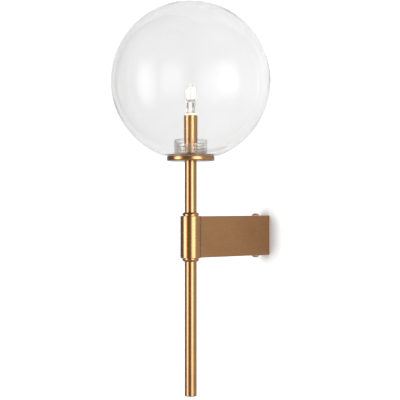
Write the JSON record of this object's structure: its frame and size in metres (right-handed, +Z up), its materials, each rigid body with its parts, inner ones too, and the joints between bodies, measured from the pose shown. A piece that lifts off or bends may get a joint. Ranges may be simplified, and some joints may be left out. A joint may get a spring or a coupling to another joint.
{
  "type": "globe wall sconce",
  "caption": "Brass wall light: a flat arm from the wall holds an upright rod with a clear glass globe over a candle-style capsule bulb.",
  "frame": {"origin": "on the wall plane, midway between the two wall screw holes, level with the middle of the arm", "axes": "+Z up, +Y into the wall, X along the wall"},
  "size_m": [0.2, 0.238, 0.494],
  "materials": {
    "satin_brass": "satin lacquered antique brass",
    "plain_brass": "machined",
    "zinc_steel": "zinc plated",
    "clear_washer": "natural nylon",
    "silicone": "matt translucent silicone",
    "clear_plastic": "clear moulded plastic",
    "clear_glass": "clear blown glass",
    "bulb_glass": "clear quartz glass",
    "tungsten": "drawn tungsten",
    "ceramic": "unglazed steatite",
    "white_plastic": "moulded polyamide",
    "foam": "adhesive foam",
    "brown_insulation": "silicone insulation",
    "blue_insulation": "silicone insulation"
  },
  "bodies": {
    "bracket": {"wall_bracket": "satin_brass", "earth_screw": "zinc_steel", "earth_washer": "zinc_steel"},
    "upper_washer": {"upper_screw_washer": "clear_washer"},
    "upper_screw": {"upper_lock_screw": "satin_brass"},
    "lower_washer": {"lower_screw_washer": "clear_washer"},
    "lower_screw": {"lower_lock_screw": "satin_brass"},
    "globe_seat": {"globe_gasket": "silicone"},
    "globe": {"glass_globe": "clear_glass"},
    "bulb": {"bulb_envelope": "bulb_glass", "bulb_leads": "zinc_steel", "bulb_filament": "tungsten"},
    "arm": {"arm_housing": "satin_brass", "end_sleeve": "satin_brass", "upper_ferrule": "satin_brass", "lower_ferrule": "satin_brass", "upper_rod": "satin_brass", "lower_rod": "satin_brass", "rod_end_cap": "satin_brass", "globe_disc": "satin_brass", "candle_tube": "satin_brass", "upper_hub_plug": "plain_brass", "lower_hub_plug": "plain_brass", "upper_rod_foot_insert": "plain_brass", "upper_rod_head_insert": "plain_brass", "lower_rod_insert": "plain_brass", "terminal_clamps": "plain_brass", "tube_ring_nut": "plain_brass", "hub_nipple": "zinc_steel", "hub_stud": "zinc_steel", "disc_nipple": "zinc_steel", "lampholder_cup": "zinc_steel", "terminal_screws": "zinc_steel", "lampholder_contacts": "zinc_steel", "threaded_collar": "clear_plastic", "lampholder_body": "ceramic", "terminal_block": "white_plastic", "terminal_pad": "foam", "live_lead": "brown_insulation", "neutral_lead": "blue_insulation"}
  },
  "joints": [
    {"name": "arm_slide", "type": "slide", "parent": "bracket", "child": "arm", "axis": [0, -1, 0], "range_m": [0, 0.034]},
    {"name": "upper_screw_travel", "type": "slide", "parent": "bracket", "child": "upper_washer", "axis": [0, 0, 1], "range_m": [0, 0.0021]},
    {"name": "upper_screw_turn", "type": "hinge", "parent": "upper_washer", "child": "upper_screw", "pos_m": [0, -0.0184, 0.026], "axis": [0, 0, 1], "range_deg": [0, 1080]},
    {"name": "lower_screw_travel", "type": "slide", "parent": "bracket", "child": "lower_washer", "axis": [0, 0, -1], "range_m": [0, 0.0021]},
    {"name": "lower_screw_turn", "type": "hinge", "parent": "lower_washer", "child": "lower_screw", "pos_m": [0, -0.0184, -0.026], "axis": [0, 0, -1], "range_deg": [0, 1080]},
    {"name": "globe_lift", "type": "slide", "parent": "arm", "child": "globe_seat", "axis": [0, 0, 1], "range_m": [0, 0.008]},
    {"name": "globe_turn", "type": "hinge", "parent": "globe_seat", "child": "globe", "pos_m": [0, -0.138, 0.11], "axis": [0, 0, 1], "range_deg": [0, 720]},
    {"name": "bulb_pull", "type": "slide", "parent": "arm", "child": "bulb", "axis": [0, 0, 1], "range_m": [0, 0.012]}
  ],
  "couplings": [
    {"joint": "globe_lift", "follows": "globe_turn", "m_per_rad": 0.00063662},
    {"joint": "upper_screw_turn", "follows": "upper_screw_travel", "rad_per_m": 8976},
    {"joint": "lower_screw_turn", "follows": "lower_screw_travel", "rad_per_m": 8976}
  ]
}
